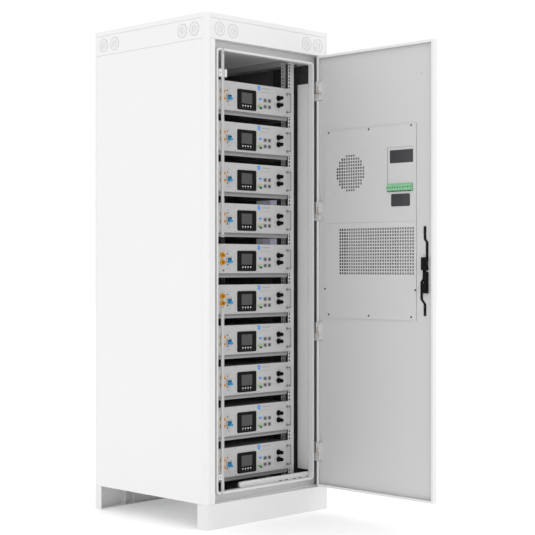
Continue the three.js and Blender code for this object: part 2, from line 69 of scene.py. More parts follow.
# ---- camera ----
EYE = (-3809.5, -4141.1, 1105.6)
HEADING = -45.221
FOCAL_LENGTH = 90.26
SENSOR_WIDTH = 36


def add_camera():
    """The eye stands left of the open front, at half height, and looks level."""
    camera = added("camera", bpy.data.cameras.new("camera"))
    camera.location = CABINET @ Vector(EYE)
    camera.rotation_euler = (math.radians(90), 0, math.radians(HEADING))
    camera.data.lens = FOCAL_LENGTH
    camera.data.sensor_width = SENSOR_WIDTH
    camera.data.clip_end = 100
    bpy.context.scene.camera = camera


# ---- materials ----
def put(node, name, value):
    node.inputs[name].default_value = value


class Finish:
    """A material whose colour, roughness and relief vary with noise in the object's own space."""

    def __init__(self, name, color, roughness, metallic=0.0):
        self.material = bpy.data.materials.new(name)
        self.material.use_nodes = True
        self.tree = self.material.node_tree
        self.shader = self.tree.nodes["Principled BSDF"]
        put(self.shader, "Metallic", metallic)
        self.place = self.node("ShaderNodeTexCoord").outputs["Object"]
        self.color, self.roughness = color, roughness
        put(self.shader, "Base Color", (*color, 1))
        put(self.shader, "Roughness", roughness)

    def node(self, kind):
        return self.tree.nodes.new(kind)

    def link(self, source, target):
        self.tree.links.new(source, target)

    def noise(self, scale, detail=3.0, stretch=(1, 1, 1)):
        mapping = self.node("ShaderNodeMapping")
        put(mapping, "Scale", stretch)
        self.link(self.place, mapping.inputs["Vector"])
        noise = self.node("ShaderNodeTexNoise")
        put(noise, "Scale", scale)
        put(noise, "Detail", detail)
        self.link(mapping.outputs["Vector"], noise.inputs["Vector"])
        return noise.outputs["Fac"]

    def tint(self, scale, amount, stretch=(1, 1, 1)):
        """Lets the colour drift lighter and darker by a share of itself."""
        mix = self.node("ShaderNodeMix")
        mix.data_type = "RGBA"
        put(mix, "A", (*[c * (1 - amount) for c in self.color], 1))
        put(mix, "B", (*[min(1, c * (1 + amount)) for c in self.color], 1))
        self.link(self.noise(scale, 2.0, stretch), mix.inputs["Factor"])
        self.link(mix.outputs["Result"], self.shader.inputs["Base Color"])
        return self

    def polish(self, scale, amount, stretch=(1, 1, 1)):
        """Lets the roughness drift up and down by an amount."""
        spread = self.node("ShaderNodeMapRange")
        put(spread, "To Min", max(0.02, self.roughness - amount))
        put(spread, "To Max", min(1, self.roughness + amount))
        self.link(self.noise(scale, 3.0, stretch), spread.inputs["Value"])
        self.link(spread.outputs["Result"], self.shader.inputs["Roughness"])
        return self

    def matt(self, level):
        """Weakens the mirror-like part of the reflection."""
        put(self.shader, "Specular IOR Level", level)
        return self

    def glow(self, strength):
        """Lifts a surface that stands in deep shade, in its own colour."""
        put(self.shader, "Emission Color", (*self.color, 1))
        put(self.shader, "Emission Strength", strength)
        return self

    def relief(self, scale, height, stretch=(1, 1, 1), detail=2.0):
        """Bumps of a height in metres."""
        bump = self.node("ShaderNodeBump")
        put(bump, "Strength", 1.0)
        put(bump, "Distance", height)
        self.link(self.noise(scale, detail, stretch), bump.inputs["Height"])
        self.link(bump.outputs["Normal"], self.shader.inputs["Normal"])
        return self


def grey(level):
    return (level, level, level)


def powder_coat(name, color, roughness=0.42, grain=0.00004):
    """Sprayed powder paint: faint orange peel, even colour."""
    return Finish(name, color, roughness).tint(3, 0.012).polish(60, 0.05).relief(420, grain)


def moulded(name, color, roughness=0.45, grain=0.00003):
    """Moulded plastic with a fine spark-eroded grain."""
    return Finish(name, color, roughness).tint(40, 0.04).polish(300, 0.06).relief(1600, grain)


def zinc_plate(name, color=(0.58, 0.585, 0.59), roughness=0.42):
    """Zinc-plated steel, drawn along its length."""
    long = (6, 6, 0.4)
    plate = Finish(name, color, roughness, metallic=0.55)
    return plate.tint(60, 0.06, long).polish(90, 0.08, long).relief(500, 0.00002, long)


def closed_foam(name, level):
    """Closed-cell foam sheet."""
    foam = Finish(name, (level, level, level * 1.02), 0.9)
    return foam.tint(30, 0.25).polish(80, 0.05).relief(900, 0.0003)


# duct is lighter than the white: painted light on the vertical duct, which stands in shade.
# frame and recess are darker copies of the white paint: painted shade on the front frame's inner faces and
# in its recess; frame also paints the bottom duct.
PLAIN_PAINTS = {"white": 0.83, "frame": 0.74, "recess": 0.63, "duct": 0.92, "hinge": 0.66, "rack": 0.6}


def paints():
    plain = PLAIN_PAINTS.items()
    return {
        **{name + "_paint": powder_coat(name + " powder coat", grey(level)) for name, level in plain},
        "plinth_paint": powder_coat("plinth powder coat", (0.78, 0.78, 0.785)),
        # The door's white is a slightly darker copy of the body's white: painted shade.
        "door_shaded_paint": powder_coat("shaded door powder coat", (0.81, 0.81, 0.812)),
        # The ceiling's glow is painted light that lifts it out of its shade.
        "lit_ceiling_paint": powder_coat("ceiling powder coat with painted light", grey(0.86)).glow(0.06),
        "grey_paint": powder_coat("grey powder coat", grey(0.63), 0.48),
        "battery_paint": powder_coat("battery panel paint", grey(0.54), 0.5, 0.00003),
        # The case's near-black is painted shade in the gaps between the batteries.
        "case_shade_paint": powder_coat("battery case painted shade", grey(0.15), 0.6),
        # The lip's dark grey is painted shade under each battery panel.
        "lip_shade_paint": powder_coat("tray lip painted shade", grey(0.24), 0.6),
        "black_metal": powder_coat("black lock paint", (0.006, 0.006, 0.0065), 0.6, 0.00006).matt(0.12),
    }


def metals():
    screw_steel = Finish("dark screw steel", (0.10, 0.10, 0.105), 0.4, metallic=0.7)
    brass = Finish("brass", (0.60, 0.50, 0.36), 0.38, metallic=0.6)
    return {
        "zinc_steel": zinc_plate("zinc plated steel"),
        "grip_steel": zinc_plate("grip steel", grey(0.32), 0.35),
        "shelf_steel": zinc_plate("shelf steel", (0.42, 0.42, 0.425), 0.5),
        "screw_steel": screw_steel.tint(300, 0.1).polish(400, 0.1),
        "brass_pin": brass.tint(80, 0.08).polish(200, 0.08),
    }


def plastics():
    return {
        # Black plastic also stands for painted shade in the key slot, the terminal holes and behind the
        # louvres.
        "black_plastic": moulded("black plastic and painted shade", (0.008, 0.008, 0.0085), 0.6).matt(0.12),
        # Connector black also paints the shade behind the door's grille holes.
        "connector_black_and_shade": moulded("connector black and painted shade", (0.005, 0.005, 0.0055), 0.5).matt(0.05),
        "grey_plastic": moulded("grey plastic", (0.33, 0.33, 0.335)),
        "white_plastic": moulded("white plastic", grey(0.78)),
        # The junction box's glow is painted light that lifts it out of its shade, and its colours are
        # lightened for the same reason.
        "lilac_plastic": moulded("lilac plastic with painted light", (0.78, 0.74, 0.95)).glow(0.14),
        "lit_box_grey": moulded("box grey with painted light", grey(0.8)).glow(0.1),
        "socket_grey": moulded("socket grey", grey(0.21)),
        # Label grey also paints the shade on the walls round the door's window.
        "label_grey_and_shade": moulded("label grey and painted shade", (0.38, 0.38, 0.39)),
        # The vent groove grey is painted shade in the vents' grooves.
        "vent_groove_shade": moulded("painted groove shade", grey(0.5), 0.7),
        # A dark strip on the right jamb: painted shade beside the door's hinge edge.
        "jamb_shade": moulded("painted jamb shade", grey(0.17), 0.8),
        "blue_plastic": moulded("blue plastic", (0.01, 0.33, 0.72), 0.45).matt(0.3),
        "badge_blue": moulded("badge blue", (0.02, 0.31, 0.84), 0.5).matt(0.3),
        "orange_plastic": moulded("orange plastic", (0.84, 0.42, 0.02), 0.5).matt(0.25),
        "dark_orange_plastic": moulded("dark orange plastic", (0.6, 0.24, 0.008), 0.6).matt(0.12),
        "green_plastic": moulded("green plastic", (0.22, 0.52, 0.20), 0.4),
        "pale_green": moulded("pale green plastic", (0.25, 0.56, 0.32)),
        "led": moulded("green lens", (0.10, 0.55, 0.16), 0.25),
        "screen": moulded("grey screen", (0.085, 0.086, 0.088), 0.3, 0.00001).matt(0.3),
        "dark_screen": moulded("dark display", (0.05, 0.05, 0.055), 0.2, 0.00001),
    }


def foams():
    return {
        # The black foam also serves as painted shade in the uprights and the duct's slots.
        "foam": closed_foam("black foam and painted shade", 0.042),
        "pale_foam": closed_foam("rear foam", 0.13),
        "filter_grey": closed_foam("filter mat", 0.24),
    }


# ---- mesh tools ----
SHARP = 0.6


def soften(bm, width, segments=2):
    """Rounds every edge that turns sharply."""
    edges = [e for e in bm.edges if len(e.link_faces) == 2 and e.calc_face_angle(0) > SHARP]
    if width and edges:
        bmesh.ops.bevel(bm, geom=edges, offset=width, segments=segments, profile=0.5,
                        affect="EDGES", clamp_overlap=True)
    return bm


def deepened(bm, shift):
    """Turns a flat drawing into a solid that reaches as far as the shift."""
    made = bmesh.ops.extrude_face_region(bm, geom=list(bm.faces))["geom"]
    bmesh.ops.translate(bm, vec=shift, verts=[v for v in made if isinstance(v, bmesh.types.BMVert)])
    bmesh.ops.recalc_face_normals(bm, faces=bm.faces)
    return bm


def block(x, y, z, edge=0.4, segments=2):
    bm = bmesh.new()
    bmesh.ops.create_cube(bm, size=1)
    size = [hi - lo for lo, hi in (x, y, z)]
    centre = [(hi + lo) / 2 for lo, hi in (x, y, z)]
    bmesh.ops.transform(bm, matrix=Matrix.LocRotScale(centre, None, size), verts=bm.verts)
    return soften(bm, edge, segments)


def on_axis(axis, u, v, along):
    return {"x": (along, u, v), "y": (u, along, v), "z": (u, v, along)}[axis]


def prism(points, span, axis="y", edge=0.4, segments=2):
    """An outline in the other two axes, drawn along one axis."""
    bm = bmesh.new()
    bm.faces.new([bm.verts.new(on_axis(axis, u, v, span[0])) for u, v in points])
    deepened(bm, Vector(on_axis(axis, 0, 0, span[1] - span[0])))
    return soften(bm, edge, segments)


def cut_plate(outline, holes, span, edge=0.3):
    """An outline in x and z with holes through it, running along y."""
    bm = bmesh.new()
    for ring in [outline, *holes]:
        corners = [bm.verts.new((px, span[0], pz)) for px, pz in ring]
        for i, corner in enumerate(corners):
            bm.edges.new((corners[i - 1], corner))
    bmesh.ops.triangle_fill(bm, use_beauty=True, use_dissolve=False, edges=bm.edges)
    deepened(bm, Vector((0, span[1] - span[0], 0)))
    return soften(bm, edge, 2)


def arc(cx, cz, radius, start, end, steps):
    turns = [math.radians(start + (end - start) * i / steps) for i in range(steps + 1)]
    return [(cx + radius * math.cos(t), cz + radius * math.sin(t)) for t in turns]


def circle(cx, cz, radius, steps=24):
    return arc(cx, cz, radius, 0, 360, steps)[:-1]


def rounded(x, z, radius, steps=5):
    """Outline of a rectangle with round corners."""
    (x0, x1), (z0, z1) = x, z
    corners = [(x1 - radius, z0 + radius, -90), (x1 - radius, z1 - radius, 0),
               (x0 + radius, z1 - radius, 90), (x0 + radius, z0 + radius, 180)]
    return [p for cx, cz, start in corners for p in arc(cx, cz, radius, start, start + 90, steps)]


def turned(profile, centre, steps=32):
    """A profile of (radius, y) turned about an axis along y; it starts and ends on the axis."""
    cx, cz = centre
    bm = bmesh.new()
    rings = []
    for radius, y in profile:
        ring = [(cx, cz)] if radius < 1e-6 else circle(cx, cz, radius, steps)
        rings.append([bm.verts.new((px, y, pz)) for px, pz in ring])
    for a, b in zip(rings, rings[1:]):
        for i in range(steps):
            j = (i + 1) % steps
            corners = [a[i % len(a)], a[j % len(a)], b[j % len(b)], b[i % len(b)]]
            bm.faces.new(list(dict.fromkeys(corners)))
    bmesh.ops.recalc_face_normals(bm, faces=bm.faces)
    return bm


def peg(centre, radius, span, steps=24, edge=0.4):
    """A round peg along y with softened ends."""
    y0, y1 = sorted(span)
    cut = edge * 0.3
    near = [(0, y0), (radius - edge, y0), (radius - cut, y0 + cut), (radius, y0 + edge)]
    far = [(radius, y1 - edge), (radius - cut, y1 - cut), (radius - edge, y1), (0, y1)]
    return turned(near + far, centre, steps)


def screw(x, z, y, radius=3.4, toward=-1, height=1.8):
    """A pan head with a socket, standing on a face at y."""
    top = y + toward * height
    low = y + toward * height * 0.35
    return turned([(0, y), (radius, y), (radius, low), (radius * 0.8, top), (radius * 0.48, top),
                   (radius * 0.44, low), (0, low)], (x, z), 16)


def pierced(xs, zs, is_open, span):
    """A sheet on a grid of lines, left open in the cells whose middle is_open."""
    bm = bmesh.new()
    verts = {}

    def vert(i, k):
        if (i, k) not in verts:
            verts[i, k] = bm.verts.new((xs[i], span[0], zs[k]))
        return verts[i, k]

    for i in range(len(xs) - 1):
        for k in range(len(zs) - 1):
            if not is_open((xs[i] + xs[i + 1]) / 2, (zs[k] + zs[k + 1]) / 2):
                bm.faces.new((vert(i, k), vert(i + 1, k), vert(i + 1, k + 1), vert(i, k + 1)))
    return deepened(bm, Vector((0, span[1] - span[0], 0)))


class Holes:
    """Rows and columns of square holes about a middle."""

    def __init__(self, middle, count, pitch, size):
        self.middle, self.count, self.pitch, self.size = middle, count, pitch, size

    def centres(self, axis):
        half = (self.count[axis] - 1) / 2
        return [self.middle[axis] + (i - half) * self.pitch for i in range(self.count[axis])]

    def lines(self, axis):
        return [c + side * self.size / 2 for c in self.centres(axis) for side in (-1, 1)]

    def at(self, x, z):
        """The centre of the hole that covers a point, or None."""
        near = [min(self.centres(axis), key=lambda c: abs(c - value)) for axis, value in enumerate((x, z))]
        inside = all(abs(c - value) < self.size / 2 for c, value in zip(near, (x, z)))
        return near if inside else None


def swept(points, radius, steps=12):
    """A round bar that follows points in one plane at right angles to x."""
    bm = bmesh.new()
    sideways = Vector((1, 0, 0))
    turns = [2 * math.pi * k / steps for k in range(steps)]
    path = [Vector(p) for p in points]
    rings = []
    for i, p in enumerate(path):
        before = (p - path[i - 1]).normalized() if i else None
        after = (path[i + 1] - p).normalized() if i + 1 < len(path) else None
        along = ((before or after) + (after or before)).normalized()
        across = along.cross(sideways).normalized()
        rings.append([bm.verts.new(p + radius * (math.cos(t) * sideways + math.sin(t) * across))
                      for t in turns])
    for a, b in zip(rings, rings[1:]):
        for k in range(steps):
            j = (k + 1) % steps
            bm.faces.new((a[k], a[j], b[j], b[k]))
    bm.faces.new(rings[0])
    bm.faces.new(rings[-1])
    bmesh.ops.recalc_face_normals(bm, faces=bm.faces)
    return bm


def moved(bm, matrix):
    bmesh.ops.transform(bm, matrix=matrix, verts=bm.verts)
    return bm


def dressed(mesh, smooth_angle=38):
    mesh.polygons.foreach_set("use_smooth", [True] * len(mesh.polygons))
    mesh.set_sharp_from_angle(angle=math.radians(smooth_angle))
    return mesh


def joined(name, parts, place):
    """One mesh from several, moved to its place."""
    whole = bmesh.new()
    for bm in parts:
        scratch = bpy.data.meshes.new("part")
        bm.to_mesh(scratch)
        bm.free()
        whole.from_mesh(scratch)
        bpy.data.meshes.remove(scratch)
    bmesh.ops.transform(whole, matrix=place, verts=whole.verts)
    if place.determinant() < 0:
        bmesh.ops.reverse_faces(whole, faces=whole.faces)
    mesh = bpy.data.meshes.new(name)
    whole.to_mesh(mesh)
    whole.free()
    return dressed(mesh)


def show(name, mesh, look, body, lift=0.0):
    """Puts a mesh in the scene as a piece that rides on a body."""
    made = added(name, mesh)
    made.location.z = lift
    if not mesh.materials:
        mesh.materials.append(MATERIALS[look])
    normals = made.modifiers.new("even shading", "WEIGHTED_NORMAL")
    normals.keep_sharp = True
    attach(made, body)
    return made


def piece(name, parts, look, body="root", place=CABINET, stands_for=()):
    made = show(name, joined(name, parts, place), look, body)
    if stands_for:
        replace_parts(made, *stands_for)


def refined(node, look, body="root", edge=0.8, segments=2, keep=None, part="_fine"):
    """The CAD solid again, with its flat faces made whole and its edges rounded.

    keep chooses faces by their middle, in the corner's millimetres, and their normal."""
    bm = bmesh.new()
    bm.from_mesh(frame["nodes"][node].data)
    bmesh.ops.remove_doubles(bm, verts=bm.verts, dist=1e-6)
    bmesh.ops.dissolve_limit(bm, angle_limit=math.radians(1), verts=bm.verts, edges=bm.edges)
    soften(bm, edge * MM, segments)
    if keep:
        to_corner = CABINET.inverted()
        left_out = [f for f in bm.faces if not keep(to_corner @ f.calc_center_median(), f.normal)]
        bmesh.ops.delete(bm, geom=left_out, context="FACES")
    mesh = bpy.data.meshes.new(node + part)
    bm.to_mesh(mesh)
    bm.free()
    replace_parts(show(node + part, dressed(mesh), look, body), node)


# ---- outer shell ----
SHELL_PANELS = ["fascia_front", "fascia_rear", "fascia_left", "fascia_right",
                "side_panel_left", "side_panel_right", "rear_panel", "plinth_front", "plinth_rear"]
PANEL_SCREW_HEIGHTS = range(180, 2071, 370)
PANEL_SCREW_INSET = 40
VENT_HEIGHT = 2115.5
VENT_PLACES = [76, 154.5, WIDTH - 151, WIDTH - 75.5]
VENT_RADIUS = 28.5
VENT_GROOVES = (28.9, 11.4)


def add_shell():
    for corner in ("front_left", "front_right", "rear_left", "rear_right"):
        refined("post_" + corner, "white_paint", edge=0.5)
    for node in SHELL_PANELS:
        refined(node, "plinth_paint" if node.startswith("plinth") else "white_paint", edge=1.3)
    refined("roof_cover", "white_paint", edge=1.2, segments=3)
    refined("floor_plate", "zinc_steel", edge=0.4)
    add_vents()
    columns = (PANEL_SCREW_INSET, WIDTH - PANEL_SCREW_INSET)
    heads = [screw(x, z, DEPTH, toward=1) for x in columns for z in PANEL_SCREW_HEIGHTS]
    piece("rear_panel_screws", heads, "zinc_steel")


def vent(radius):
    """A round knock-out vent: a rim, a groove, a flat ring and a small boss, 1 mm proud."""
    profile = [(0, 2), (radius, 2), (radius, -0.3), (radius - 0.6, -0.9), (radius - 2.4, -0.9),
               (radius - 2.9, 0.2), (radius - 4, 0.4), (radius - 5, -0.2), (14.2, -0.2), (13.4, -0.9),
               (11.6, -0.9), (11, 0.2), (8.4, 0.2), (7.8, -0.4), (0, -0.5)]
    return turned(profile, (0, 0), 48)


def ring_line(radius, width=1.0):
    """A narrow grey ring, nearly flush: painted shade where a round groove lies."""
    outer, inner = (circle(0, 0, radius + half, 48) for half in (width / 2, -width / 2))
    return cut_plate(outer, [inner], (-1.1, 1), 0.1)


def add_vents():
    """Four vents on each side of the cabinet."""
    sides = {"front": (0, 0, 0), "rear": (WIDTH, DEPTH, 2), "left": (0, DEPTH, -1), "right": (WIDTH, 0, 1)}
    for side, (corner_x, corner_y, quarters) in sides.items():
        turn = Matrix.Rotation(quarters * math.pi / 2, 4, "Z")
        for number, x in enumerate(VENT_PLACES, 1):
            along = turn @ Matrix.Translation((x, 0, VENT_HEIGHT))
            place = CABINET @ Matrix.Translation((corner_x, corner_y, 0)) @ along
            piece(f"vent_{side}_{number}", [vent(VENT_RADIUS)], "white_plastic", place=place)
            # The grey rings are painted shade in the vent's grooves.
            rings = [ring_line(radius) for radius in VENT_GROOVES]
            piece(f"vent_lines_{side}_{number}", rings, "vent_groove_shade", place=place)


# ---- front frame and lock rods ----
JAMBS = (50, 721)
HEAD_HEIGHT = 2070
SEAT = (35, 42)
INNER_FLOOR = 112
CLIPS = [(1918, 1950), (203, 226)]
CLIP_X = 93
CLIP_FACE = 12.5
ROD_X = 110
ROD_FACE = 15
ROD_PINS = {"up": (1241, 2020), "down": (158, 936)}


def in_front(centre, normal):
    """Faces of the frame's front strips."""
    return centre.y < 1 and normal.y < -0.5


def in_recess(centre, normal):
    """Faces of the seat, the jambs and the head that the closed door covers."""
    seat = SEAT[0] < centre.y < SEAT[1] and normal.y < -0.5
    left = abs(centre.x - JAMBS[0]) < 1 and normal.x > 0.5
    right = abs(centre.x - JAMBS[1]) < 1 and normal.x < -0.5
    head = centre.z > HEAD_HEIGHT - 1 and normal.z < -0.5
    return seat or left or right or head


def elsewhere(centre, normal):
    return not in_front(centre, normal) and not in_recess(centre, normal)


def add_front_frame():
    # The front strips keep the white paint. The frame's other faces take the darker frame paint, and the
    # seat, jambs and head take the darker recess paint: painted shade inside the opening.
    refined("front_frame", "frame_paint", keep=elsewhere)
    refined("front_frame", "white_paint", keep=in_front, part="_strips")
    refined("front_frame", "recess_paint", keep=in_recess, part="_recess")
    # A dark strip along the right jamb's seat: painted shade in the gap beside the door's hinge edge.
    jamb_shade = [block((JAMBS[1] - 13.5, JAMBS[1] - 0.5), (36.5, 39.7), (INNER_FLOOR, HEAD_HEIGHT - 4), 1.0)]
    piece("jamb_shade_strip", jamb_shade, "jamb_shade")


def add_rods():
    for node, body in (("lock_rod_upper", "rod_up"), ("lock_rod_lower", "rod_down")):
        refined(node, "zinc_steel", body, edge=1.4, segments=3)
    heads = [screw(CLIP_X, (low + high) / 2, CLIP_FACE, radius=2.4) for low, high in CLIPS]
    piece("rod_clip_screws", heads, "screw_steel")
    for name, heights in ROD_PINS.items():
        pins = [screw(ROD_X, z, ROD_FACE, radius=3, height=0.7) for z in heights]
        piece(f"rod_{name}_pins", pins, "screw_steel", f"rod_{name}")


# ---- rack ----
MIDDLE = 375
UNIT = 44.45
MODULE_PITCH = 4 * UNIT
TOP_MODULE = 1919.7
PANEL_HEIGHT = 128
TRAY_LIP = 9.5
SHELF_LIP = 9
UPRIGHT = {"front": 101.3, "depth": 45, "outer": 636, "flange": 36, "sheet": 2, "rear": 604}
UPRIGHT_SPAN = (111.5, 2045)
REAR_UPRIGHT = UPRIGHT["rear"] - UPRIGHT["depth"]
RACK_UNITS = 44
UNIT_HOLES = [6.35, 22.225, 38.1]
RACK_HOLE = {"x": 609, "size": 8.6}
SHELF_SIDE = 598
SHELF_SHEET = 2
SHELF_RAIL = 18
BEAM = {"x": (660, 700), "y": (60, 700), "z": (2039, 2068)}
BRACKET = {"z": (2036, 2040), "length": 80, "rear_length": 40}
BASE_BEAM = {"x": 662, "z": (111.5, 130)}
RACK_BOLTS = [(645, 2031), (652, 2031)]


def rack_hole_heights():
    """Heights of the holes: three to a rack unit, none within 8 mm of an upright's ends."""
    base = TOP_MODULE + 0.4 - 4 * MODULES * UNIT
    heights = [base + unit * UNIT + hole for unit in range(RACK_UNITS) for hole in UNIT_HOLES]
    low, high = UPRIGHT_SPAN
    return [z for z in heights if low + 8 < z < high - 8]


def punched_flange(y):
    """An upright's flange with its column of square holes."""
    middle, half, outer = RACK_HOLE["x"], RACK_HOLE["size"] / 2, UPRIGHT["outer"]
    heights = rack_hole_heights()
    xs = [outer - UPRIGHT["flange"], middle - half, middle + half, outer]
    zs = sorted([*UPRIGHT_SPAN, *[z + side * half for z in heights for side in (-1, 1)]])

    def is_open(x, z):
        return abs(x - middle) < half and any(abs(z - hole) < half for hole in heights)

    return pierced(xs, zs, is_open, (y, y + UPRIGHT["sheet"]))


def upright(y):
    """A C-shaped upright, y to the rear of its front flange."""
    outer, sheet, depth = UPRIGHT["outer"], UPRIGHT["sheet"], UPRIGHT["depth"]
    web = block((outer - sheet, outer), (y + sheet, y + depth - sheet), UPRIGHT_SPAN, 0.2)
    return [punched_flange(y), web, punched_flange(y + depth - sheet)]


def shelf(under):
    """A deck with a folded front lip, and a ledge and a rail at each side."""
    front = UPRIGHT["front"] + 6.2
    side, outer, sheet = SHELF_SIDE, UPRIGHT["outer"], SHELF_SHEET
    between = (UPRIGHT["front"] + UPRIGHT["depth"], REAR_UPRIGHT)
    ledge = (between[0] + 4, between[1] - 4)
    rail = (between[0] - 1, between[1] + 1)
    flat, folded = (under - sheet, under), (under - TRAY_LIP - SHELF_LIP, under)
    width = (2 * MIDDLE - side, side)
    deck = block(width, (front, UPRIGHT["rear"]), flat, 0.3)
    lip = block(width, (front, front + sheet), folded, 0.7)
    parts = [deck, lip]
    for near, far in ((side - 0.5, outer - 1), (2 * MIDDLE - outer + 1, 2 * MIDDLE - side + 0.5)):
        parts.append(block((near, far), ledge, flat, 0.3))
    for near, far in ((outer - sheet, outer), (2 * MIDDLE - outer, 2 * MIDDLE - outer + sheet)):
        parts.append(block((near, far), rail, (under - SHELF_RAIL, under), 0.3))
    return parts


def upright_hole_shades():
    """Dark strips inside the uprights: painted shade behind the rows of holes."""
    outer, depth = UPRIGHT["outer"], UPRIGHT["depth"]
    x, z = (outer - 8, outer - 2.2), (INNER_FLOOR + 4, BRACKET["z"][1])
    return [block(x, (y + 2.3, y + depth - 2.3), z, 0.8) for y in (UPRIGHT["front"], REAR_UPRIGHT)]


def rack_side():
    """The right side's two uprights, with the beams and brackets that hold them."""
    web = UPRIGHT["outer"] - UPRIGHT["sheet"]
    front, rear = BEAM["y"][0], UPRIGHT["rear"]
    to_wall = (web, BEAM["x"][1])
    beams = [block(BEAM["x"], BEAM["y"], BEAM["z"], 1.0),
             block(to_wall, (front, front + BRACKET["length"]), BRACKET["z"], 0.6),
             block(to_wall, (rear - BRACKET["rear_length"], rear), BRACKET["z"], 0.6),
             block((web, BASE_BEAM["x"]), (UPRIGHT["front"], rear), BASE_BEAM["z"], 0.6)]
    return upright(UPRIGHT["front"]) + upright(REAR_UPRIGHT) + beams


def add_rack():
    mirror = CABINET @ Matrix.Translation((2 * MIDDLE, 0, 0)) @ Matrix.Scale(-1, 4, (1, 0, 0))
    for side, place in (("right", CABINET), ("left", mirror)):
        name = f"rack_side_{side}"
        piece(name + "_fine", rack_side(), "rack_paint", place=place, stands_for=[name])
        # The dark strips in the uprights are painted shade behind the holes.
        piece(f"rack_hole_shade_{side}", upright_hole_shades(), "foam", place=place)
    for index in range(MODULES):
        under = TOP_MODULE - index * MODULE_PITCH - PANEL_HEIGHT
        piece(f"shelf_{index + 1:02d}", shelf(under), "shelf_steel")
    bolts = [screw(x, z, UPRIGHT["front"], 4.5) for x, z in RACK_BOLTS]
    piece("rack_bolts", bolts, "screw_steel")


# ---- ducts, box and lining ----
RAIL = {"x": (240, 700), "y": (50, 51.6), "z": [134, 139, 144, 147]}
RAIL_SLOTS = Holes((470, 127), (22, 1), 20, 12)
DUCT_SLOT_SHADES = {"x": (492, 531, 583, 619, 669), "half": 9.5, "y": (45.5, 46.3), "z": (148.6, 153.2)}
BOX = {"x": (655, 699.7), "z": (1210, 1440), "front": (271, 317), "rear": (317.3, 364)}
LINING_TOP = 2036
SIDE_LINING = (701, WIDTH - 22)
DUCT_TOP = 1951
CEILING = ((27, WIDTH - 27), (46, DEPTH - 24), (2068.3, 2070))


def add_inside():
    # The vertical duct's paint is lighter than the body's white: painted light on a duct in shade.
    refined("cable_duct_vertical", "duct_paint")
    refined("cable_duct_bottom", "frame_paint", edge=1.0)
    piece("slotted_rail", [slotted_rail()], "zinc_steel")
    # Dark patches on the bottom duct: painted shade in its slots.
    half = DUCT_SLOT_SHADES["half"]
    slot_shades = [block((x - half, x + half), DUCT_SLOT_SHADES["y"], DUCT_SLOT_SHADES["z"], 0.2, 1) for x in DUCT_SLOT_SHADES["x"]]
    piece("duct_slot_shades", slot_shades, "foam")
    # The junction box's glow is painted light that lifts it out of its shade.
    piece("junction_box_grey", [block(BOX["x"], BOX["rear"], BOX["z"], 1.5)], "lit_box_grey")
    front = block(BOX["x"], BOX["front"], BOX["z"], 1.5, 3)
    piece("junction_box_fine", [front], "lilac_plastic", stands_for=["junction_box"])
    add_lining()
    piece("ceiling", [block(*CEILING, 0.3)], "lit_ceiling_paint")


def slotted_rail():
    xs = sorted([*RAIL["x"], *RAIL_SLOTS.lines(0)])
    low, high = RAIL["z"][1:3]

    def is_open(x, z):
        return low < z < high and RAIL_SLOTS.at(x, RAIL_SLOTS.middle[1]) is not None

    return pierced(xs, RAIL["z"], is_open, RAIL["y"])


def add_lining():
    """Foam on the side walls and the rear wall, above the duct and behind the front frame."""
    span = (INNER_FLOOR, LINING_TOP)
    right = block(SIDE_LINING, (132, 300), span, 1.5)
    right_rear = block(SIDE_LINING, (300.5, DEPTH - 34), span, 1.5)
    above_duct = block(SIDE_LINING, (46, 131.5), (DUCT_TOP, LINING_TOP), 1.5)
    behind_frame = block((729, 731), (44, 131), (INNER_FLOOR, DUCT_TOP - 0.5), 0.3)
    left = block((23, 49), (46, DEPTH - 34), span, 1.5)
    rear = block((50, 700.5), (DEPTH - 33, DEPTH - 21), span, 1.5)
    piece("foam_lining_right", [right, above_duct, behind_frame], "foam")
    piece("foam_lining_rear", [left, rear, right_rear], "pale_foam")


# ---- batteries ----
# Heights are below the panel's top edge, which is at z = 0.
FACE = 98
PANEL = (133.7, 616.3)
CASE = {"x": (155, 595), "z": (-126.5, -1.5), "rear": 560, "wall": 3}
CASE_SLOTS = {"x": Holes((MIDDLE, -70), (18, 2), 10, 5), "z": [-94, -72, -68, -46]}
LIP = ((150, 598), (104, 107))
PORT_ROWS = [-49, -80.5]
OUTPUT_X = 183
INPUT_X = 532
GRIP_X = 588
GRIP_ENDS = (-25, -108)
SCREEN_FRAME = ((273.5, 389.5), (-119, -29))
SCREEN = ((298.5, 365.5), (-90.5, -42.5))
KEYS = [305, 321, 337, 353]
BREAKER = {"x": (209.5, 236.5), "z": (-85, -57), "well": (211.5, 234.5), "pivot": (102, -71), "tilt": 22}
WELL_RADIUS = 13.5
SOCKETS = [(x, z) for x in (446.5, 474) for z in (-66.5, -94.5)]
BADGE = (408.5, -14.8)
RING_MARK = (510.5, -77)
LABELS = [((428, 479), (-16, -11.5)), ((415, 479), (-31, -29)), ((217, 230), (-33, -30)),
          ((217, 231), (-107, -104)), ((512, 516), (-98, -88))]
SCALE_MARKS = range(-106, -38, 8)
EAR_SCREWS = [(x, z) for x in (608, 142) for z in (-25, -106)]
CASE_SCREWS = [(x, z) for x in (166, 262, 404, 572) for z in (-6, -122)]
GROUND_SCREW = (190, -115.5)
BREAKER_SCREWS = [(215, -42.5), (215, -91)]
RUN_LAMP = (240, -57)
ALARM_LAMPS = [(411, -86), (421.5, -86)]
KEY_ROW = (-103.8, -98)
KEY_MARK_ROW = (-110.5, -108.8)
BLUE_PORT = ((409, 423), (-66.5, -58.5))
GREEN_PLUG = ((400.5, 422.5), (-100, -93.6))
PLUG_SCREWS = [(x, -96.8) for x in (404, 408.8, 413.6, 418.4)]
PLUG_BASE = ((413.5, 424), (-106.5, -100.2))


def out_to(far, near=0):
    """The span in y of something that stands out of the panel."""
    return (FACE - far, FACE - near)


